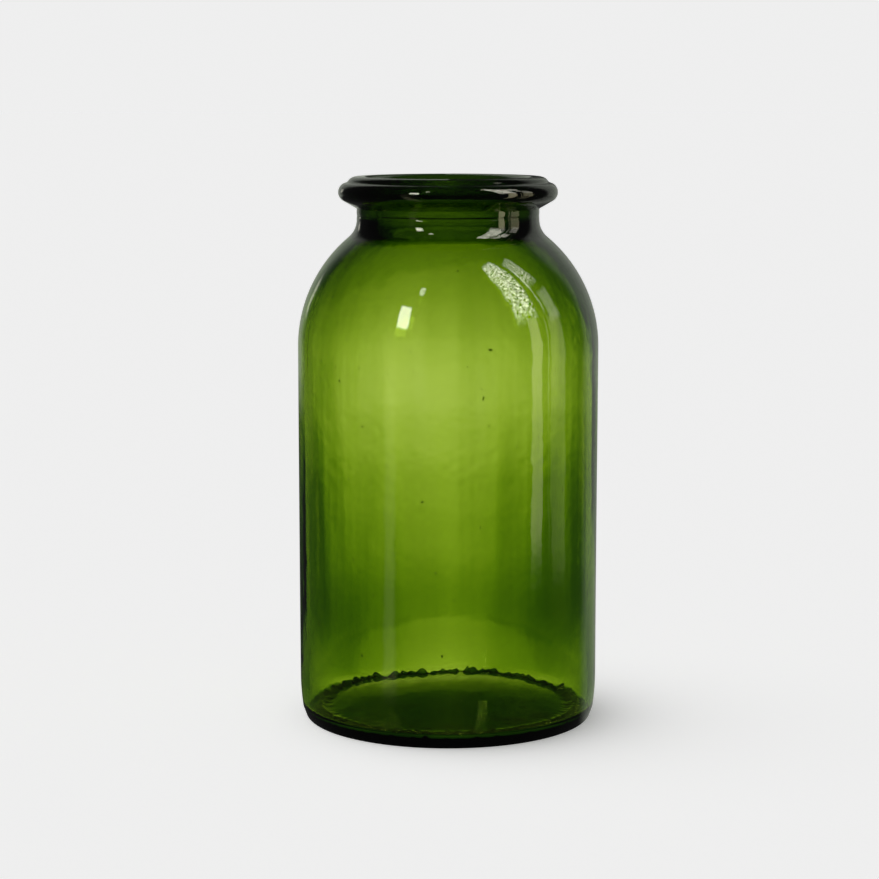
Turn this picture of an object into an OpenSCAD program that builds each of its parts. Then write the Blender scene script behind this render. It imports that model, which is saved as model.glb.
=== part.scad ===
// Hand-blown wide-mouth apothecary jar of green glass.
// Two pieces of glass make it: the blown body, with its neck and its pushed-up
// base, and the lip ring that was laid round the neck hot and tooled to a bead.
// The origin is the centre of the circle that the jar stands on, with +Z up.

/* [Overall] */
// Height of the jar, from the standing circle to the crest of the lip
jar_h = 200; // [190:1:215]
// Outside diameter of the straight sides
body_d = 110; // [104:1:116]

/* [Shoulder] */
// Radius of the outside of the round shoulder
shoulder_r = 52; // [50:0.5:53]
// Height of the neck's narrowest circle below the crest
neck_drop = 15.5; // [15:0.5:17]
// Radius of the hollow curve between the shoulder and the neck
neck_fillet_r = 8.5; // [7:0.5:10]

/* [Neck and mouth] */
// Outside diameter of the neck
neck_d = 66.6; // [65.6:0.2:67.6]
// Diameter of the mouth, which a bung fits
mouth_d = 52; // [50:0.5:54]
// Radius of the rounding between the mouth and the crest
mouth_round_r = 6; // [5:0.5:7]
// Radius of the hollow curve inside, between the neck and the shoulder
mouth_fillet_r = 12; // [8:0.5:14]

/* [Lip ring] */
// Outside diameter of the lip ring
lip_d = 80; // [79:0.5:82]
// Radius of the rounding between the crest and the lip ring's top
crest_r = 4; // [3.9:0.1:4.2]
// Radius of the bead at the lip ring's outer edge
lip_nose_r = 3.6; // [3.4:0.1:3.8]
// Depth of the bead's centre below the crest
lip_nose_drop = 5.65; // [5.5:0.05:5.8]
// Slope of the lip ring's underside, in degrees from level
lip_under_slope = 30; // [26:1:34]

/* [Walls] */
// Thickness of the straight sides
wall_t = 2.8; // [2.2:0.1:3.4]
// Radius of the inside of the round shoulder
shoulder_in_r = 49.5; // [48.5:0.5:50.5]
// Depth of the inner shoulder's centre below the outer one's
shoulder_in_drop = 1.8; // [1.4:0.1:2.2]

/* [Foot and base] */
// Height at which the sides begin to draw in towards the foot
draw_h = 16; // [14:1:20]
// Radius of the long curve by which the sides draw in
draw_r = 84; // [80:1:100]
// Height of the crease between the sides and the heel
crease_h = 4.2; // [4:0.1:4.8]
// Lean of the heel below the crease, in degrees from upright
heel_lean = 20; // [16:1:24]
// Radius of the rounding between the heel and the standing ring
heel_r = 1.8; // [1.5:0.1:2]
// Inside diameter of the flat ring that the jar stands on
standing_in_d = 92; // [88:1:94]
// Height of the pushed-up base under the centre
kick_h = 4; // [3:0.5:6]
// Thickness of the pushed-up base at the centre
base_t = 5; // [4.5:0.5:6.5]
// Radius of the inside corner between the sides and the base
corner_in_r = 3; // [2.5:0.5:4]
// Depth to which the inside corner reaches, above the standing ring
corner_h = 3.6; // [3.2:0.1:4.2]

/* [Hidden] */
$fn = 180;

glass_green = [0.33, 0.46, 0.08];
ring_green = [0.13, 0.2, 0.05];
margin = 1;
// How far inside a circle a straight edge ends, so that the two overlap
tuck = 0.01;

body_r = body_d / 2;
neck_r = neck_d / 2;
mouth_r = mouth_d / 2;
inside_r = body_r - wall_t;

// Outside of the neck and shoulder: three circles that touch one another
neck_h = jar_h - neck_drop;
fillet_x = neck_r + neck_fillet_r;
shoulder_x = body_r - shoulder_r;
fillet_reach = shoulder_r + neck_fillet_r;
shoulder_h = neck_h - sqrt(pow(fillet_reach, 2) - pow(fillet_x - shoulder_x, 2));
touch_x = shoulder_x + (fillet_x - shoulder_x) * shoulder_r / fillet_reach;
touch_h = shoulder_h + (neck_h - shoulder_h) * shoulder_r / fillet_reach;

// Inside of the neck and shoulder: two circles that touch one another
shoulder_in_x = inside_r - shoulder_in_r;
shoulder_in_h = shoulder_h - shoulder_in_drop;
fillet_in_x = mouth_r + mouth_fillet_r;
in_reach = shoulder_in_r + mouth_fillet_r;
neck_in_h = shoulder_in_h + sqrt(pow(in_reach, 2) - pow(fillet_in_x - shoulder_in_x, 2));
touch_in_x = shoulder_in_x + (fillet_in_x - shoulder_in_x) * shoulder_in_r / in_reach;
touch_in_h = shoulder_in_h + (neck_in_h - shoulder_in_h) * shoulder_in_r / in_reach;

// Lip: the crest circle, the bead circle and the line that touches both above
crest_x = neck_r;
crest_h = jar_h - crest_r;
nose_x = lip_d / 2 - lip_nose_r;
nose_h = jar_h - lip_nose_drop;
lip_span = norm([nose_x - crest_x, nose_h - crest_h]);
lip_top_angle = atan2(nose_h - crest_h, nose_x - crest_x)
    + acos((crest_r - lip_nose_r) / lip_span);
under_x = nose_x + (lip_nose_r - tuck) * sin(lip_under_slope);
under_h = nose_h - (lip_nose_r - tuck) * cos(lip_under_slope);
under_run = under_x - neck_r + margin;

// Foot: the crease, the leaning heel and the circle that rounds it off
crease_x = body_r - draw_r + sqrt(pow(draw_r, 2) - pow(draw_h - crease_h, 2));
lean = tan(heel_lean);
heel_x = crease_x - lean * (crease_h - heel_r * (1 - sin(heel_lean)))
    - heel_r * cos(heel_lean);
heel_touch_x = heel_x + heel_r * cos(heel_lean);
heel_touch_h = heel_r - heel_r * sin(heel_lean);

// Base: a shallow dome under it and another over it
kick_x = standing_in_d / 2;
kick_dome_r = (pow(kick_x, 2) + pow(kick_h, 2)) / (2 * kick_h);
floor_h = kick_h + base_t;
floor_x = inside_r - corner_in_r;
floor_rise = floor_h - corner_h;
floor_dome_r = (pow(floor_x, 2) + pow(floor_rise, 2)) / (2 * floor_rise);

// A point on a circle, from its centre, radius and angle
function on_circle(x, h, r, angle) = [x + r * cos(angle), h + r * sin(angle)];

// The right half of the plane, from one height to another
module half_plane(low, high, inner = 0) {
    translate([inner, low]) square([body_d - inner, high - low]);
}

// The corner between a straight neck and a round shoulder, hollowed by a circle
// whose centre is at x, h
module hollow_corner(x, h, neck_x, join_x, join_h, r) {
    difference() {
        polygon([
            [0, join_h - 2 * r],
            [join_x, join_h],
            [neck_x, h],
            [0, h]
        ]);
        translate([x, h]) circle(r);
    }
}

// Outside of the body, from the axis outwards, with the neck up to the crest
module outside_profile() {
    intersection() {
        half_plane(0, shoulder_h + shoulder_r);
        union() {
            translate([0, draw_h]) square([body_r, shoulder_h - draw_h]);
            translate([shoulder_x, shoulder_h]) circle(shoulder_r);
            intersection() {
                translate([body_r - draw_r, draw_h]) circle(draw_r);
                half_plane(crease_h, draw_h + margin);
            }
            polygon([
                [0, 0],
                [heel_x, 0],
                [heel_x, heel_touch_h],
                [heel_touch_x, heel_touch_h],
                [crease_x, crease_h],
                [crease_x, crease_h + margin / 4],
                [0, crease_h + margin / 4]
            ]);
            translate([heel_x, heel_r]) circle(heel_r);
        }
    }
    hollow_corner(fillet_x, neck_h, neck_r, touch_x, touch_h, neck_fillet_r);
    translate([0, neck_h - margin]) square([neck_r, jar_h - neck_h + margin]);
}

// Inside of the body, from the domed floor to above the mouth
module inside_profile() {
    difference() {
        intersection() {
            half_plane(0, jar_h);
            union() {
                translate([0, corner_h + corner_in_r])
                    square([inside_r, shoulder_in_h - corner_h - corner_in_r]);
                translate([0, corner_h]) square([floor_x, corner_in_r + margin]);
                translate([floor_x, corner_h + corner_in_r]) circle(corner_in_r);
                translate([shoulder_in_x, shoulder_in_h]) circle(shoulder_in_r);
            }
        }
        translate([0, floor_h - floor_dome_r]) circle(floor_dome_r);
    }
    hollow_corner(fillet_in_x, neck_in_h, mouth_r, touch_in_x, touch_in_h, mouth_fillet_r);
    translate([0, neck_in_h - margin]) square([mouth_r, jar_h - neck_in_h + 2 * margin]);
    difference() {
        translate([0, jar_h - mouth_round_r])
            square([mouth_r + mouth_round_r, mouth_round_r + margin]);
        translate([mouth_r + mouth_round_r, jar_h - mouth_round_r]) circle(mouth_round_r);
    }
}

module blown_body() {
    color(glass_green)
        rotate_extrude()
            difference() {
                outside_profile();
                inside_profile();
                intersection() {
                    translate([0, kick_h - kick_dome_r]) circle(kick_dome_r);
                    half_plane(-margin, kick_h + margin);
                }
            }
}

module lip_ring() {
    color(ring_green)
        rotate_extrude()
            intersection() {
                half_plane(neck_h, jar_h + margin, neck_r);
                union() {
                    polygon([
                        on_circle(crest_x, crest_h, crest_r - tuck, lip_top_angle),
                        on_circle(nose_x, nose_h, lip_nose_r - tuck, lip_top_angle),
                        [nose_x, nose_h],
                        [under_x, under_h],
                        [neck_r - margin, under_h - under_run * tan(lip_under_slope)],
                        [neck_r - margin, crest_h]
                    ]);
                    translate([nose_x, nose_h]) circle(lip_nose_r);
                    translate([crest_x, crest_h]) circle(crest_r);
                }
            }
}

blown_body();
lip_ring();
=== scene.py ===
import math

import bpy
import numpy as np
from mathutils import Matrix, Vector


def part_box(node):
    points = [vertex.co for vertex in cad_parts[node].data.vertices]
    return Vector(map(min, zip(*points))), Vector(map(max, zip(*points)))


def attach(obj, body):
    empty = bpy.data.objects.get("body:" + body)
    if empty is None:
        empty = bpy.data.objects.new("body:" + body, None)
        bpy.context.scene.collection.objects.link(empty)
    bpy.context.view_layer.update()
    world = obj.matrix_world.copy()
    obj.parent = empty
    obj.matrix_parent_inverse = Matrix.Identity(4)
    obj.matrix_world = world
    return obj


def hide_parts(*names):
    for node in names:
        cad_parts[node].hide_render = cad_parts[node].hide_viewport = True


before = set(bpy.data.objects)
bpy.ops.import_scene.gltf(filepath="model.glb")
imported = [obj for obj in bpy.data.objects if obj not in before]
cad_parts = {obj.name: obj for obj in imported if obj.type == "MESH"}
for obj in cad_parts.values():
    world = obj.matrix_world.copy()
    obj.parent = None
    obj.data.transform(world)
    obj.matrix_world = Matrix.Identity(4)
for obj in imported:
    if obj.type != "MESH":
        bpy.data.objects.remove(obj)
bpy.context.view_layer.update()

MM = 0.001
body_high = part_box("blown_body")[1]
ring_low, ring_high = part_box("lip_ring")

# ---------------------------------------------------------------- shape
# Outside of the body
JAR_H = body_high[2]
BODY_R = body_high[0]
SHOULDER_R = 52 * MM
NECK_R = 33.3 * MM
NECK_H = JAR_H - 15.5 * MM
FILLET_R = 8.5 * MM
CREST_R = 4 * MM
DRAW_H = 16 * MM
DRAW_R = 84 * MM
CREASE_H = 4.2 * MM
HEEL_R = 1.8 * MM
HEEL_LEAN = 20
KICK_H = 4 * MM
KICK_R = 46 * MM
FOOT_ROUND = 1.0 * MM
# The points under the base are wider apart up to here, and close together from here on
COARSE_TO = 0.85 * KICK_R
FINE_FROM = 0.86 * KICK_R

# Inside of the body
MOUTH_R = 26 * MM
MOUTH_ROUND_R = 6 * MM
MOUTH_FILLET_R = 12 * MM
INSIDE_R = BODY_R - 2.8 * MM
SHOULDER_IN_R = 49.5 * MM
SHOULDER_IN_DROP = 1.8 * MM
CORNER_R = 3 * MM
CORNER_H = 3.6 * MM
FLOOR_H = KICK_H + 5 * MM
FLOOR_R = INSIDE_R - CORNER_R
FLOOR_DOME_R = (FLOOR_R**2 + (FLOOR_H - CORNER_H) ** 2) / (2 * (FLOOR_H - CORNER_H))
FLOOR_RING_R = 37 * MM

# Lip ring
RING_R = ring_high[0]
RING_FOOT_H = ring_low[2]
NOSE_R = 3.6 * MM
NOSE_DROP = 5.65 * MM
UNDER_SLOPE = 30
# How far the ring's inner wall is sunk into the neck, how far its foot slopes up there,
# and the depth of the groove along its top face
RING_BITE = 0.15 * MM
RING_LEDGE = 0.1 * MM
RING_GROOVE = 0.35 * MM
GROOVE_POINTS = 14

# Points round the jar, and the least distance between points along an outline
SIDES = 640
LEAST_STEP = 0.001 * MM
SEED = 7


def arc(centre, radius, start, end, count):
    """Points on a circle in the (radius, height) plane, from one angle to another."""
    angles = np.radians(np.linspace(start, end, count))
    return np.column_stack(
        [centre[0] + radius * np.cos(angles), centre[1] + radius * np.sin(angles)]
    )


def line(start, end, count):
    """Points on a straight line, both ends included."""
    return np.linspace(start, end, count)


def join(*parts):
    """One outline from several, with the points that meet kept once."""
    outline = np.vstack(parts)
    step = np.linalg.norm(np.diff(outline, axis=0), axis=1)
    return outline[np.concatenate([[True], step > LEAST_STEP])]


def angle_of(point, centre):
    """Direction in which a point lies from a centre."""
    return math.degrees(math.atan2(point[1] - centre[1], point[0] - centre[0]))


def touching(centre_x, radius, other, other_radius, outside=1):
    """Height of a circle's centre, at x = centre_x, so that it touches another circle.

    The centre is above the other circle's, or below it where outside is -1."""
    reach = radius + other_radius
    return other[1] + outside * math.sqrt(reach**2 - (centre_x - other[0]) ** 2)


def body_outline():
    """Section of the body, in two: outside, from under the base to the mouth, and inside.

    The last number of each stretch is how many points it gets."""
    dome_r = (KICK_R**2 + KICK_H**2) / (2 * KICK_H)
    crease_x = BODY_R - DRAW_R + math.sqrt(DRAW_R**2 - (DRAW_H - CREASE_H) ** 2)
    lean = math.radians(HEEL_LEAN)
    heel_x = (
        crease_x
        - math.tan(lean) * (CREASE_H - HEEL_R * (1 - math.sin(lean)))
        - HEEL_R * math.cos(lean)
    )
    under_r = np.concatenate([np.linspace(0, COARSE_TO, 24), np.linspace(FINE_FROM, heel_x, 40)])
    dome = KICK_H - dome_r + np.sqrt(dome_r**2 - under_r**2)
    rounded = (dome + np.sqrt(dome**2 + FOOT_ROUND**2)) / 2
    under = np.column_stack([under_r, rounded - rounded[-1]])

    fillet = (NECK_R + FILLET_R, NECK_H)
    shoulder_x = BODY_R - SHOULDER_R
    shoulder = (shoulder_x, touching(shoulder_x, SHOULDER_R, fillet, FILLET_R, -1))
    rise = angle_of(fillet, shoulder)
    draw_from = math.degrees(math.asin((CREASE_H - DRAW_H) / DRAW_R))
    rim = (MOUTH_R + MOUTH_ROUND_R, JAR_H - MOUTH_ROUND_R)
    outside = [
        arc((heel_x, HEEL_R), HEEL_R, -90, -HEEL_LEAN, 10),
        line((crease_x, CREASE_H), (crease_x, CREASE_H), 1),
        arc((BODY_R - DRAW_R, DRAW_H), DRAW_R, draw_from, 0, 10),
        line((BODY_R, DRAW_H), (BODY_R, shoulder[1]), 44),
        arc(shoulder, SHOULDER_R, 0, rise, 40),
        arc(fillet, FILLET_R, rise + 180, 180, 16),
        line((NECK_R, NECK_H), (NECK_R, RING_FOOT_H), 24),
        line((NECK_R, RING_FOOT_H), (NECK_R, JAR_H), 10),
        arc(rim, MOUTH_ROUND_R, 90, 180, 16),
    ]

    shoulder_in = (INSIDE_R - SHOULDER_IN_R, shoulder[1] - SHOULDER_IN_DROP)
    fillet_in_x = MOUTH_R + MOUTH_FILLET_R
    fillet_in = (fillet_in_x, touching(fillet_in_x, MOUTH_FILLET_R, shoulder_in, SHOULDER_IN_R))
    rise_in = angle_of(fillet_in, shoulder_in)
    floor_dome = (0, FLOOR_H - FLOOR_DOME_R)
    corner = (FLOOR_R, touching(FLOOR_R, CORNER_R, floor_dome, FLOOR_DOME_R))
    ring_angle = math.degrees(math.acos(FLOOR_RING_R / FLOOR_DOME_R))
    inside = [
        arc(fillet_in, MOUTH_FILLET_R, 180, rise_in + 180, 18),
        arc(shoulder_in, SHOULDER_IN_R, rise_in, 0, 40),
        line((INSIDE_R, shoulder_in[1]), (INSIDE_R, corner[1]), 44),
        arc(corner, CORNER_R, 0, angle_of(floor_dome, corner), 24),
        arc(floor_dome, FLOOR_DOME_R, angle_of(corner, floor_dome), ring_angle, 30),
        arc(floor_dome, FLOOR_DOME_R, ring_angle, 90, 30),
    ]
    return join(under, *outside), join(*inside)


def ring_outline():
    """Section of the lip ring, closed, with its inner wall a little inside the neck."""
    crest = (NECK_R, JAR_H - CREST_R)
    nose = (RING_R - NOSE_R, JAR_H - NOSE_DROP)
    span = math.hypot(nose[0] - crest[0], nose[1] - crest[1])
    top = angle_of(nose, crest) + math.degrees(math.acos((CREST_R - NOSE_R) / span))
    inner = NECK_R - RING_BITE
    inner_foot = (inner, RING_FOOT_H + RING_LEDGE)
    nose_arc = arc(nose, NOSE_R, UNDER_SLOPE - 90, top, 40)
    crest_arc = arc(crest, CREST_R, top, 90, 12)
    groove = line(nose_arc[-1], crest_arc[0], GROOVE_POINTS)
    out = np.array([math.cos(math.radians(top)), math.sin(math.radians(top))])
    groove -= RING_GROOVE * out * np.sin(np.linspace(0, math.pi, GROOVE_POINTS))[:, None] ** 2
    return join(
        line(inner_foot, (NECK_R, RING_FOOT_H), 2),
        nose_arc,
        groove,
        crest_arc,
        line((inner, JAR_H - RING_BITE), inner_foot, 8),
    )


def waves(rng, orders, size, per_height):
    """A smooth random function of angle and height: a sum of waves round the jar."""
    rows = []
    for order in orders:
        for sign in (-1, 1):
            climb = sign * rng.uniform(0, per_height)
            phase = rng.uniform(0, 2 * math.pi)
            rows.append((order, climb, phase, rng.normal(0, size)))

    def value(angle, height):
        total = np.zeros(np.broadcast(angle, height).shape)
        for order, climb, phase, amount in rows:
            total += amount * np.cos(order * angle + climb * height + phase)
        return total

    return value


def outline_normals(outline, closed):
    """Unit normals of an outline, to the right of its direction, which is out of the glass."""
    if closed:
        along = np.roll(outline, -1, axis=0) - np.roll(outline, 1, axis=0)
    else:
        along = np.gradient(outline, axis=0)
    along /= np.linalg.norm(along, axis=1)[:, None]
    return np.column_stack([along[:, 1], -along[:, 0]])


def lathe(name, outline, closed, swell=None, extra=()):
    """A mesh turned from an outline. swell gives how far each point moves along its normal.

    An outline that isn't closed starts and ends on the axis, at a pole. extra holds more
    closed shapes for the same mesh, each as its points and its faces."""
    angle = np.linspace(0, 2 * math.pi, SIDES, endpoint=False)[None, :]
    normal = outline_normals(outline, closed)
    moved = swell(angle, outline) if swell else 0 * angle
    radius = outline[:, 0:1] + normal[:, 0:1] * moved
    height = outline[:, 1:2] + normal[:, 1:2] * moved
    grid = np.stack([radius * np.cos(angle), radius * np.sin(angle), height + 0 * angle], axis=2)
    rows = len(outline)
    faces = []
    if closed:
        verts = grid.reshape(-1, 3)
        index = np.arange(rows * SIDES).reshape(rows, SIDES)
        below, above = index, np.roll(index, -1, axis=0)
    else:
        poles = np.array([[0, 0, grid[0, :, 2].mean()], [0, 0, grid[-1, :, 2].mean()]])
        verts = np.vstack([grid[1:-1].reshape(-1, 3), poles])
        index = np.arange((rows - 2) * SIDES).reshape(rows - 2, SIDES)
        below, above = index[:-1], index[1:]
        first, last = (rows - 2) * SIDES, (rows - 2) * SIDES + 1
        for side in range(SIDES):
            turn = (side + 1) % SIDES
            faces.append((first, int(index[0, turn]), int(index[0, side])))
            faces.append((last, int(index[-1, side]), int(index[-1, turn])))
    quads = np.stack([below, np.roll(below, -1, axis=1), np.roll(above, -1, axis=1), above], axis=2)
    faces += quads.reshape(-1, 4).tolist()
    verts = verts.tolist()
    for more_verts, more_faces in extra:
        start = len(verts)
        verts += more_verts
        faces += [tuple(start + corner for corner in face) for face in more_faces]
    mesh = bpy.data.meshes.new(name)
    mesh.from_pydata(verts, [], faces)
    mesh.shade_smooth()
    mesh.update()
    piece = bpy.data.objects.new(name, mesh)
    bpy.context.collection.objects.link(piece)
    return piece


# Unevenness of the hand-blown walls: slow and fast waves, fine upright cords inside,
# and the jagged chill ridge on the floor
rng = np.random.default_rng(SEED)
out_slow = waves(rng, (2, 3, 4, 5), 0.04 * MM, 30)
out_fast = waves(rng, range(7, 26, 2), 0.009 * MM, 60)
in_slow = waves(rng, (2, 3, 4, 5, 6), 0.045 * MM, 40)
in_fast = waves(rng, range(7, 30, 2), 0.010 * MM, 70)
cords = waves(rng, range(31, 95, 4), 0.0012 * MM, 12)
jags = waves(rng, range(8, 98, 3), 0.16, 0)
# The waves and cords fade in above the foot and out again below the mouth
WAVES_FROM = 16 * MM
WAVES_TO = JAR_H - 20 * MM
WAVES_FADE = 30 * MM
# The chill ridge: its radius, width and rise, how much the jags change its rise and its
# radius, and the height over which it fades out up the wall
RIDGE_R = 46.6 * MM
RIDGE_W = 1.9 * MM
RIDGE_RISE = 1.5 * MM
RIDGE_CHANGES = 0.5
JAG_R = 0.9 * MM
RIDGE_BELOW = 11 * MM
RIDGE_FADE = 3 * MM
# Where the glass of the lip ring was smoothed out on to the neck
NECK_CREASE_H = NECK_H + 1.3 * MM
NECK_CREASE_W = 0.5 * MM
NECK_CREASE_D = 0.12 * MM


def body_swell(angle, outline):
    """How far the body's surface lies outside its plain section."""
    r = outline[:, 0:1]
    z = outline[:, 1:2]
    below_lip = np.clip((WAVES_TO - z) / WAVES_FADE, 0, 1)
    above_foot = np.clip((z - WAVES_FROM) / WAVES_FADE, 0, 1)
    on_outside = np.arange(len(outline))[:, None] < body_split
    slow = np.where(on_outside, out_slow(angle, z), in_slow(angle, z))
    fast = np.where(on_outside, out_fast(angle, z), in_fast(angle, z))
    fine = np.where(on_outside, 0, cords(angle, z))
    jag = jags(angle, 0 * z)
    on_floor = ~on_outside * np.clip((RIDGE_BELOW - z) / RIDGE_FADE, 0, 1)
    ridge = np.exp(-(((r - RIDGE_R - JAG_R * jag) / RIDGE_W) ** 2)) * (1 + RIDGE_CHANGES * jag)
    crease = on_outside * np.exp(-(((z - NECK_CREASE_H) / NECK_CREASE_W) ** 2)) * NECK_CREASE_D
    return (slow + fast + fine) * above_foot * below_lip + on_floor * ridge * RIDGE_RISE - crease


# ---------------------------------------------------------------- glass
GLASS_IOR = 1.5
# Share of light that the glass takes, per metre, for red, green and blue
TAKES = (290, 230, 600)
GLASS_DENSITY = 610
GLASS_PASSES = tuple(1 - take / GLASS_DENSITY for take in TAKES) + (1,)
RING_DENSITY = 880
# Ripples of the fire-polished surface, and the faint haze where it is worn
RIPPLE_SIZE = 11 * MM
RIPPLE_DEPTH = 0.3 * MM
RIPPLE_STRENGTH = 0.4
HAZE_SIZE = 25 * MM
HAZE_FROM = 0.5
HAZE = 0.06
# The greatest shade that a ramp can hold
SHADE_SPAN = 3.0


class Tree:
    """Short ways to add and join shader nodes."""

    def __init__(self, owner):
        owner.use_nodes = True
        self.tree = owner.node_tree
        self.tree.nodes.clear()

    def add(self, kind, sockets=(), **settings):
        """A node with these values or links in its sockets, and these settings."""
        node = self.tree.nodes.new("ShaderNode" + kind)
        for name, value in settings.items():
            setattr(node, name, value)
        for place, value in dict(sockets).items():
            self.put(node.inputs[place], value)
        return node

    def put(self, socket, value):
        """Link a socket to another node's output, or set its value."""
        if isinstance(value, bpy.types.NodeSocket):
            self.tree.links.new(value, socket)
        else:
            socket.default_value = value

    def math(self, operation, *values):
        """The output of a Math node."""
        return self.add("Math", dict(enumerate(values)), operation=operation).outputs[0]

    def mix(self, factor, first, second):
        """A mix of two colours, each given as a node's output or as three numbers."""
        node = self.add("Mix", {"Factor": factor}, data_type="RGBA")
        for place, value in (("A", first), ("B", second)):
            colour = value if isinstance(value, bpy.types.NodeSocket) else (*value, 1)
            self.put(node.inputs[place], colour)
        return node.outputs["Result"]

    def ramp(self, value, low, high, stops):
        """A smooth curve of value through the stops, which are pairs of a value and a shade."""
        place = self.add("MapRange", {"Value": value, "From Min": low, "From Max": high}).outputs[0]
        node = self.add("ValToRGB", {0: place})
        node.color_ramp.interpolation = "EASE"
        elements = node.color_ramp.elements
        while len(elements) < len(stops):
            elements.new(0.5)
        for element, (where, shade) in zip(elements, stops):
            element.position = (where - low) / (high - low)
        for element, (where, shade) in zip(elements, stops):
            element.color = (shade / SHADE_SPAN,) * 3 + (1,)
        return self.math("MULTIPLY", node.outputs[0], SHADE_SPAN)


def glass(name, density):
    """Clear green glass: the colour comes from the glass that light passes through."""
    mat = bpy.data.materials.new(name)
    tree = Tree(mat)
    place = tree.add("TexCoord").outputs["Object"]
    ripple = tree.add("TexNoise", {"Vector": place, "Scale": 1 / RIPPLE_SIZE}).outputs[0]
    sockets = {"Strength": RIPPLE_STRENGTH, "Distance": RIPPLE_DEPTH, "Height": ripple}
    bump = tree.add("Bump", sockets).outputs[0]
    worn = tree.add("TexNoise", {"Vector": place, "Scale": 1 / HAZE_SIZE}).outputs[0]
    haze = tree.add("MapRange", {"Value": worn, "From Min": HAZE_FROM, "To Max": HAZE}).outputs[0]
    sockets = {
        "Base Color": (1, 1, 1, 1),
        "IOR": GLASS_IOR,
        "Transmission Weight": 1,
        "Roughness": haze,
        "Normal": bump,
    }
    shader = tree.add("BsdfPrincipled", sockets).outputs[0]
    tint = tree.add("VolumeAbsorption", {"Color": GLASS_PASSES, "Density": density}).outputs[0]
    tree.add("OutputMaterial", {"Surface": shader, "Volume": tint})
    return mat


# ---------------------------------------------------------------- seeds and pieces
# Seeds, which are bubbles in the wall, each with its azimuth from the front, its height
# and half its width in millimetres, and how many times taller than wide it is
SEEDS = (
    (4.4, 168.4, 0.32, 1.0),
    (-55.7, 135.8, 0.28, 1.0),
    (-44.8, 129.6, 0.36, 1.0),
    (-33.6, 114.2, 0.32, 1.0),
    (48.6, 90.3, 0.36, 1.2),
    (-34.2, 32.1, 0.42, 1.0),
    (-58.7, 40.0, 0.45, 2.2),
    (-2.2, 34.0, 0.36, 1.5),
    (35.9, 110.4, 0.22, 1.0),
    (-13.8, 141.3, 0.22, 1.0),
    (21.5, 148.6, 0.22, 1.0),
    (-38.1, 66.3, 0.26, 1.6),
)
# The same for the seeds scattered over the rest of the wall, as ranges
MORE_SEEDS = 70
MORE_AZIMUTHS = (65, 295)
MORE_HEIGHTS = (22, 165)
MORE_HALVES = (0.16, 0.4)
MORE_STRETCHES = (1, 2)
SEED_DEPTH = 1.3 * MM
SEED_RINGS = 8
SEED_SIDES = 12
# Top of the part of the outline that seeds are placed from
WALL_TOP_H = 176 * MM


def seed(azimuth, height, half, stretch):
    """A closed bubble in the wall, with its faces turned towards its inside, where the air is."""
    turn = math.radians(azimuth)
    outer_r = np.interp(height * MM, wall_heights, wall_radii)
    centre = np.array([math.sin(turn), -math.cos(turn), 0]) * (outer_r - SEED_DEPTH)
    centre[2] = height * MM
    across = half * MM
    tip = np.array([0, 0, across * stretch])
    verts = [tuple(centre + tip), tuple(centre - tip)]
    for row in range(1, SEED_RINGS):
        lift = math.pi * (0.5 - row / SEED_RINGS)
        for side in range(SEED_SIDES):
            spin = 2 * math.pi * side / SEED_SIDES
            out = math.cos(lift)
            spot = (out * math.cos(spin), out * math.sin(spin), math.sin(lift) * stretch)
            verts.append(tuple(centre + across * np.array(spot)))
    faces = []
    last = 2 + (SEED_RINGS - 2) * SEED_SIDES
    for side in range(SEED_SIDES):
        turn_to = (side + 1) % SEED_SIDES
        faces.append((0, 2 + turn_to, 2 + side))
        faces.append((1, last + side, last + turn_to))
        for row in range(SEED_RINGS - 2):
            above = 2 + row * SEED_SIDES
            below = above + SEED_SIDES
            faces.append((above + side, above + turn_to, below + turn_to, below + side))
    return verts, faces


def all_seeds():
    """The seeds that the photo shows, and others scattered over the rest of the wall."""
    scatter = np.random.default_rng(SEED + 1)
    rows = list(SEEDS)
    ranges = (MORE_AZIMUTHS, MORE_HEIGHTS, MORE_HALVES, MORE_STRETCHES)
    for _ in range(MORE_SEEDS):
        rows.append([scatter.uniform(low, high) for low, high in ranges])
    return [seed(*row) for row in rows]


outside, inside = body_outline()
body_split = len(outside)
on_wall = outside[(outside[:, 1] > DRAW_H) & (outside[:, 1] < WALL_TOP_H)]
wall_radii, wall_heights = on_wall.T
body = lathe("jar_body", join(outside, inside), False, body_swell, all_seeds())
ring = lathe("laid_on_ring", ring_outline(), True)
body_glass = glass("hand_blown_glass", GLASS_DENSITY)
ring_glass = glass("laid_on_glass", RING_DENSITY)
for piece, node, finish in ((body, "blown_body", body_glass), (ring, "lip_ring", ring_glass)):
    piece.data.materials.append(finish)
    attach(piece, "root")
    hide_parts(node)

# ---------------------------------------------------------------- stage
# The camera sees a plain pale paper with a painted contact shadow at the foot; mirror-like
# reflections see a dim room with painted bands of light. What the glass lets through sees
# painted light and shade on the paper behind the jar: bright far off, and green and dark in
# the painted shade of the jar, in a ring of eight panels.

# Brightness of the paper, and the shares of it that come from the two soft suns
PAPER = 0.86
KEY_SHARE = 0.07
TOP_SHARE = 0.05
FLOOR_HALF = 40

# Painted light behind the glass where there is no painted shade, and what one unit of painted shade
# leaves of it
BEHIND = 2.0
SHADE_TINT = (0.252, 0.368, 0.0247)
# The least and the greatest reach that the floor's painted shade is worked out for
NEAR, FAR = 0.03, 10.0
# The panels of painted shade round the jar, and how far they are turned
PANELS = 8
PANEL_TURN = -2
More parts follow.
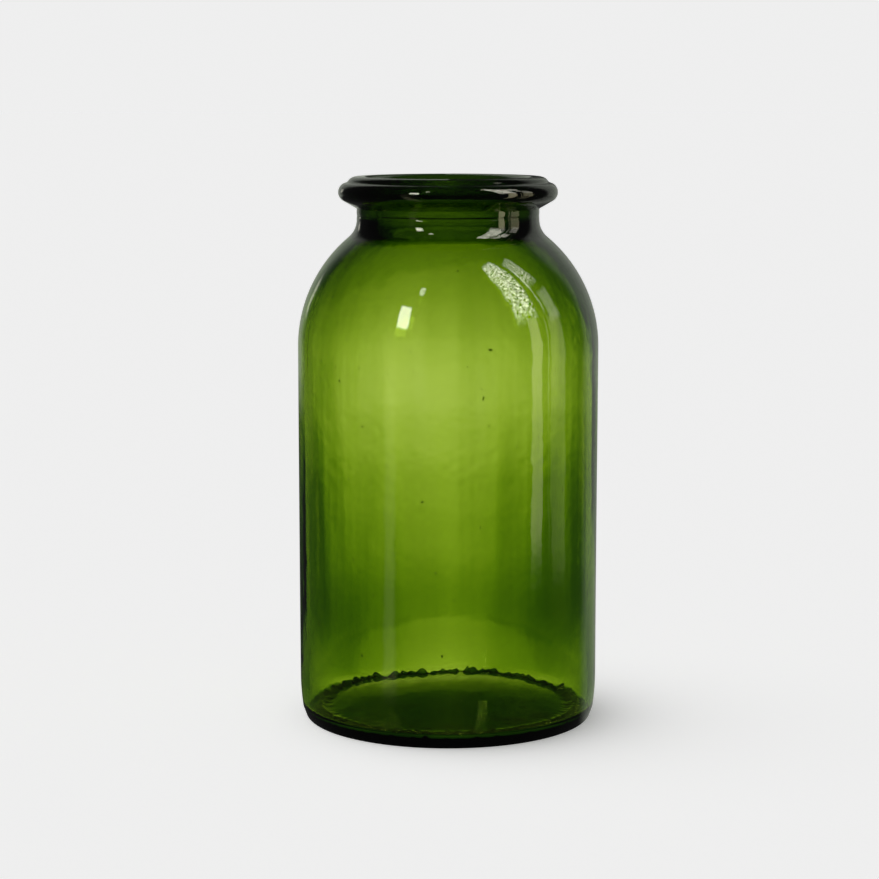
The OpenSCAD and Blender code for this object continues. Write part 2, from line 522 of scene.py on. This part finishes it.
# The painted shade on the floor at each reach from the jar's axis, how much more of it there is
# between two panels, and how far that leans to the right
FLOOR_SHADE = (
    (0.050, 2.80),
    (0.058, 0.45),
    (0.066, 0.72),
    (0.105, 0.84),
    (0.150, 0.94),
    (0.210, 1.00),
    (0.373, 0.57),
    (0.530, 0.39),
    (0.734, 0.14),
    (0.980, 0.00),
    (1.400, 0.05),
    (2.300, 0.12),
    (9.000, 0.20),
)
FLOOR_GAPS = ((0.060, 0.4), (0.105, 0.5), (0.210, 1.2), (0.500, 1.55), (1.0, 0.9), (9.0, 0.9))
FLOOR_SKEW = (
    (0.060, 0.3),
    (0.120, 0.0),
    (0.210, -0.25),
    (0.370, -0.1),
    (1.0, 0.0),
    (2.3, 0.5),
    (9.0, 0.7),
)
# The same painted shade on the room's wall, where the shade goes by the elevation
ROOM_SHADE = ((0, 0.20), (2, 0.40), (5, 0.40), (12, 1.0), (20, 2.2), (30, 3.0), (90, 3.0))
ROOM_GAPS = 0.8
ROOM_SKEW = 0.7

# What mirror-like reflections see: a dim room, and painted reflections in bands of azimuth, each
# with its centre, half its width, the width of its soft edge, its light, the reach at which it
# starts on the floor, the elevation at which it ends and its light far off. Azimuth 0 is the
# camera's side.
ROOM = 0.03
MIRROR_BANDS = (
    (-45.5, 2.5, 4.0, 0.50, 0.13, 18, 0.12),
    (71.0, 4.2, 1.0, 1.9, 0.40, 22, 2.9),
    (83.0, 0.4, 0.7, 0.2, 0.40, 20, 1.3),
    (93.0, 6.0, 2.0, 0.45, 0.36, 20, 1.2),
)
# The same painted reflections for the outer edges of the jar, which face away from the camera
EDGE_BANDS = (
    (150.0, 14.0, 14.0, 0.25, 0.03, 45, 0.36),
    (-168.0, 10.0, 20.0, 0.0, 0.03, 45, 0.36),
)
# Colours of the painted reflections: in the bands, and on the jar's edges
MIRROR_TINT = (1.0, 0.93, 0.55)
EDGE_TINT = (0.93, 1.0, 0.86)
# A band's soft start and end, as shares of where it starts and ends, and the reach over
# which it turns from its near light to its far one
BAND_START = (0.8, 1.3)
BAND_END = 0.7
FADE_FROM, FADE_TO = 0.85, 1.2

# A painted pool of light on the paper just behind the jar, in place of the light that the glass
# gathers there: its centre, half its length and width, its soft edge and how much shade it takes
# away
PATCH_Y = 0.100
PATCH_HALF_L = 0.078
PATCH_HALF_W = 0.046
PATCH_EDGE = 0.16
PATCH_LIGHT = 0.26
# The painted shadow in which the foot meets the paper: its inner radius, its depth, how much
# deeper it is on the right, and how fast it falls off
CONTACT_R = 0.0525
CONTACT_SHADE = 0.34
CONTACT_LEAN = 0.20
CONTACT_LENGTH = 0.011

# The wall that the windows hang on: its distance, and the height of an elevation of 0
WALL_D = 1.0
WINDOW_AIM_H = 0.15
WINDOW_TINT = (1.0, 0.97, 0.82)
MOTTLE_SCALE = 22


def shaded_light(tree, shade, x, y, depth, skew):
    """The painted light behind the glass: a painted base shade, and more of it between the ring's
    panels.

    skew says how much more of that shade falls on the right of a panel than on its left."""
    azimuth = tree.math("ARCTAN2", x, y)
    turn = tree.math("SUBTRACT", azimuth, math.radians(PANEL_TURN))
    wave = tree.math("COSINE", tree.math("MULTIPLY", turn, PANELS))
    gap = tree.math("MULTIPLY_ADD", wave, -0.5, 0.5)
    side = tree.math("SINE", tree.math("MULTIPLY", turn, PANELS / 2))
    gap = tree.math("MULTIPLY", gap, tree.math("MULTIPLY_ADD", side, skew, 1.0))
    total = tree.math("MULTIPLY_ADD", gap, depth, shade)
    parts = [tree.math("MULTIPLY", tree.math("POWER", tint, total), BEHIND) for tint in SHADE_TINT]
    return tree.add("CombineColor", dict(enumerate(parts))).outputs[0]


def seen_light(tree, camera, mirror, behind):
    """One light for the camera, painted reflections for reflections and painted light and shade for
    what glass lets through.
    """
    path = tree.add("LightPath").outputs
    rest = tree.mix(path["Is Reflection Ray"], behind, mirror)
    return tree.mix(path["Is Camera Ray"], rest, camera)


def mirror_bands(tree, azimuth, bands, reach, lift):
    """The painted light of a row of bands, as reflections see it on the floor or on the room's
    wall.

    On the floor, a band is turned to allow for where on the jar a reflection starts."""
    total = 0.0
    for centre, half, edge, near, start, end, far in bands:
        middle = centre
        if reach is not None:
            offset = math.degrees(BODY_R * math.sin(math.radians(centre / 2)))
            middle = tree.math("SUBTRACT", centre, tree.math("DIVIDE", offset, reach))
        away = tree.math("ABSOLUTE", tree.math("SUBTRACT", azimuth, middle))
        sockets = {"Value": away, "From Min": half + edge, "From Max": half}
        band = tree.add("MapRange", sockets, interpolation_type="SMOOTHSTEP").outputs[0]
        if reach is not None:
            limits = {
                "Value": reach,
                "From Min": start * BAND_START[0],
                "From Max": start * BAND_START[1],
            }
            fade = {
                "Value": reach,
                "From Min": FADE_FROM,
                "From Max": FADE_TO,
                "To Min": near,
                "To Max": far,
            }
            level = tree.add("MapRange", fade).outputs[0]
        else:
            limits = {"Value": lift, "From Min": end, "From Max": end * BAND_END}
            level = far
        kept = tree.add("MapRange", limits, interpolation_type="SMOOTHSTEP").outputs[0]
        total = tree.math("MULTIPLY_ADD", band, tree.math("MULTIPLY", kept, level), total)
    return total


def mirror_light(tree, x, y, reach=None, lift=None):
    """The dim room and its painted bands of reflected light, as reflections see them."""
    azimuth = tree.math("DEGREES", tree.math("ARCTAN2", x, tree.math("MULTIPLY", y, -1.0)))
    # Painted reflections of the windows, and of the bright room at the jar's edges
    painted_streaks = mirror_bands(tree, azimuth, MIRROR_BANDS, reach, lift)
    edges = mirror_bands(tree, azimuth, EDGE_BANDS, reach, lift)
    parts = []
    for streak_tint, edge_tint in zip(MIRROR_TINT, EDGE_TINT):
        part = tree.math("MULTIPLY_ADD", painted_streaks, streak_tint, ROOM)
        parts.append(tree.math("MULTIPLY_ADD", edges, edge_tint, part))
    return tree.add("CombineColor", dict(enumerate(parts))).outputs[0]


def contact_shade(tree, x, reach):
    """The paper as the camera sees it, with a painted contact shadow: darker next to the foot, and
    most of all on its right.
    """
    side = tree.math("DIVIDE", x, reach)
    depth = tree.math("MULTIPLY_ADD", side, CONTACT_LEAN, CONTACT_SHADE)
    length = tree.math("MULTIPLY_ADD", side, CONTACT_LENGTH / 3, CONTACT_LENGTH)
    away = tree.math("DIVIDE", tree.math("SUBTRACT", CONTACT_R, reach), length)
    fall = tree.math("MULTIPLY", depth, tree.math("EXPONENT", away))
    level = PAPER * (1 - KEY_SHARE - TOP_SHARE)
    left = tree.math("MULTIPLY_ADD", fall, -level, level)
    return tree.add("CombineColor", {0: left, 1: left, 2: left}).outputs[0]


def floor_material():
    """Matt paper with a painted contact shadow under the camera's rays, and painted light under all
    others.
    """
    mat = bpy.data.materials.new("pale_paper")
    tree = Tree(mat)
    place = tree.add("SeparateXYZ", {0: tree.add("NewGeometry").outputs["Position"]}).outputs
    flat = tree.add("CombineXYZ", {0: place[0], 1: place[1]}).outputs[0]
    reach = tree.add("VectorMath", {0: flat}, operation="LENGTH").outputs["Value"]
    depth = tree.math("LOGARITHM", reach, 10)
    low, high = math.log10(NEAR), math.log10(FAR)
    shade, gaps, skew = (
        tree.ramp(depth, low, high, [(math.log10(radius), level) for radius, level in stops])
        for stops in (FLOOR_SHADE, FLOOR_GAPS, FLOOR_SKEW)
    )
    # A painted pool of light just behind the jar, which takes away some of the painted shade
    across = tree.math("DIVIDE", place[0], PATCH_HALF_W)
    along = tree.math("DIVIDE", tree.math("SUBTRACT", place[1], PATCH_Y), PATCH_HALF_L)
    spread = tree.add("CombineXYZ", {0: across, 1: along}).outputs[0]
    away = tree.add("VectorMath", {0: spread}, operation="LENGTH").outputs["Value"]
    sockets = {
        "Value": away,
        "From Min": 1.0,
        "From Max": 1 - PATCH_EDGE,
        "To Max": -PATCH_LIGHT,
    }
    patch = tree.add("MapRange", sockets, interpolation_type="SMOOTHSTEP").outputs[0]
    shade = tree.math("ADD", shade, patch)
    # Painted light and shade behind the glass, with the jar's painted shadow on the paper
    behind = shaded_light(tree, shade, place[0], place[1], gaps, skew)
    # Painted reflections on the floor
    mirror = mirror_light(tree, place[0], place[1], reach)
    # The paper for the camera, with its painted contact shadow
    paper = contact_shade(tree, place[0], reach)
    light = seen_light(tree, paper, mirror, behind)
    glow = tree.add("Emission", {"Color": light})
    matt = tree.add("BsdfDiffuse", {"Color": (PAPER, PAPER, PAPER, 1)})
    both = tree.add("AddShader", {0: glow.outputs[0], 1: matt.outputs[0]})
    camera = tree.add("LightPath").outputs["Is Camera Ray"]
    pick = tree.add("MixShader", {0: camera, 1: glow.outputs[0], 2: both.outputs[0]})
    tree.add("OutputMaterial", {"Surface": pick.outputs[0]})
    return mat


def make_world():
    """The room round the jar, which gives no light to matt surfaces; it holds painted shade and
    painted bands of light.
    """
    world = bpy.data.worlds.new("room")
    bpy.context.scene.world = world
    tree = Tree(world)
    place = tree.add("SeparateXYZ", {0: tree.add("TexCoord").outputs["Generated"]}).outputs
    lift = tree.math("DEGREES", tree.math("ARCSINE", place[2]))
    # Painted shade by elevation, for what the glass lets through
    shade = tree.ramp(lift, 0, 90, ROOM_SHADE)
    behind = shaded_light(tree, shade, place[0], place[1], ROOM_GAPS, ROOM_SKEW)
    # Painted reflections of the bands on the room's wall
    mirror = mirror_light(tree, place[0], place[1], lift=lift)
    light = seen_light(tree, (PAPER,) * 3, mirror, behind)
    back = tree.add("Background", {"Color": light})
    tree.add("OutputWorld", {"Surface": back.outputs[0]})
    world.cycles_visibility.diffuse = False


def make_floor():
    """The sheet of pale paper that the jar stands on."""
    mesh = bpy.data.meshes.new("floor")
    turns = ((-1, -1), (1, -1), (1, 1), (-1, 1))
    corners = [(x * FLOOR_HALF, y * FLOOR_HALF, 0) for x, y in turns]
    mesh.from_pydata(corners, [], [(0, 1, 2, 3)])
    floor = bpy.data.objects.new("floor", mesh)
    bpy.context.collection.objects.link(floor)
    mesh.materials.append(floor_material())


def window(name, azimuths, lifts, strength, edge, mottle):
    """A soft upright rectangle of light on the wall, between two azimuths and two elevations.

    edge is the share of its sides over which it fades, and mottle how uneven its light is."""
    low, high = (WALL_D * math.tan(math.radians(lift)) + WINDOW_AIM_H for lift in lifts)
    width = 2 * WALL_D * math.tan(math.radians(azimuths[1] - azimuths[0]) / 2)
    turn = math.radians(sum(azimuths) / 2)
    lamp = bpy.data.lights.new(name, "AREA")
    lamp.shape = "RECTANGLE"
    lamp.size = width
    lamp.size_y = high - low
    lamp.energy = strength * width * (high - low) * math.pi
    lamp.color = WINDOW_TINT
    tree = Tree(lamp)
    across = tree.add("SeparateXYZ", {0: tree.add("NewGeometry").outputs["Parametric"]}).outputs
    fade = 1.0
    for place in across[:2]:
        inside = tree.math("MINIMUM", place, tree.math("SUBTRACT", 1.0, place))
        sockets = {"Value": inside, "From Max": edge}
        edged = tree.add("MapRange", sockets, interpolation_type="SMOOTHSTEP").outputs[0]
        fade = tree.math("MULTIPLY", edged, fade)
    spot = tree.add("NewGeometry").outputs["Position"]
    mottling = tree.add("TexNoise", {"Vector": spot, "Scale": MOTTLE_SCALE}).outputs[0]
    dim = tree.math("MULTIPLY_ADD", mottling, -mottle, 1.0 + mottle / 3)
    glow = tree.add("Emission", {"Strength": tree.math("MULTIPLY", fade, dim)})
    tree.add("OutputLight", {"Surface": glow.outputs[0]})
    holder = bpy.data.objects.new(name, lamp)
    away = Vector((math.sin(turn), -math.cos(turn), 0))
    holder.location = away * WALL_D + Vector((0, 0, (low + high) / 2))
    holder.rotation_mode = "QUATERNION"
    holder.rotation_quaternion = away.to_track_quat("Z", "Y")
    holder.visible_camera = False
    holder.visible_diffuse = False
    bpy.context.collection.objects.link(holder)


def soft_sun(name, share, tilt, spread):
    """A soft light from above: it gives a share of the floor's light and casts the shadow."""
    lean = [math.radians(angle) for angle in tilt]
    lamp = bpy.data.lights.new(name, "SUN")
    lamp.angle = math.radians(spread)
    lamp.energy = share * math.pi / (math.cos(lean[0]) * math.cos(lean[1]))
    holder = bpy.data.objects.new(name, lamp)
    holder.rotation_euler = (lean[0], lean[1], 0)
    holder.visible_glossy = False
    holder.visible_transmission = False
    bpy.context.collection.objects.link(holder)


make_floor()
make_world()
window("window_near", (53, 78), (14, 66), 15.0, 0.16, 3.2)
window("window_top", (80, 98), (36, 60), 8.0, 0.2, 3.0)
window("window_far", (86, 101), (12, 34), 2.2, 0.2, 1.0)
window("window_bar", (82.5, 84.5), (18, 52), 5.0, 0.2, 1.0)
window("small_window", (-41, -31), (16, 34), 16.0, 0.12, 0.5)
window("high_window", (-29, -23), (43, 50), 9.0, 0.2, 0.5)
window("left_edge", (-150, -142), (0, 14), 1.0, 0.3, 0.5)
soft_sun("key", KEY_SHARE, (-4, -22), 40)
soft_sun("top", TOP_SHARE, (0, 0), 110)

# ---------------------------------------------------------------- camera
# The lens and the shift are given for a frame of this many pixels
FRAME_PX = 879
LENS_PX = 2420
SENSOR_W = 36
AIM_H = 103.3 * MM
CAMERA_D = 893.9 * MM
PITCH = 8.01
SHIFT_X = -8.5 / FRAME_PX
GLASS_BOUNCES = 24
GLOSSY_BOUNCES = 16

cam_data = bpy.data.cameras.new("camera")
cam_data.sensor_width = SENSOR_W
cam_data.lens = SENSOR_W * LENS_PX / FRAME_PX
cam_data.shift_x = SHIFT_X
cam = bpy.data.objects.new("camera", cam_data)
pitch = math.radians(PITCH)
cam.location = (0, -CAMERA_D * math.cos(pitch), AIM_H + CAMERA_D * math.sin(pitch))
cam.rotation_euler = (math.pi / 2 - pitch, 0, 0)
bpy.context.collection.objects.link(cam)
scene = bpy.context.scene
scene.camera = cam
scene.view_settings.view_transform = "Standard"
scene.cycles.max_bounces = GLASS_BOUNCES
scene.cycles.transmission_bounces = GLASS_BOUNCES
scene.cycles.glossy_bounces = GLOSSY_BOUNCES
scene.cycles.caustics_reflective = True
scene.cycles.caustics_refractive = True
scene.cycles.use_denoising = True

bpy.context.view_layer.update()
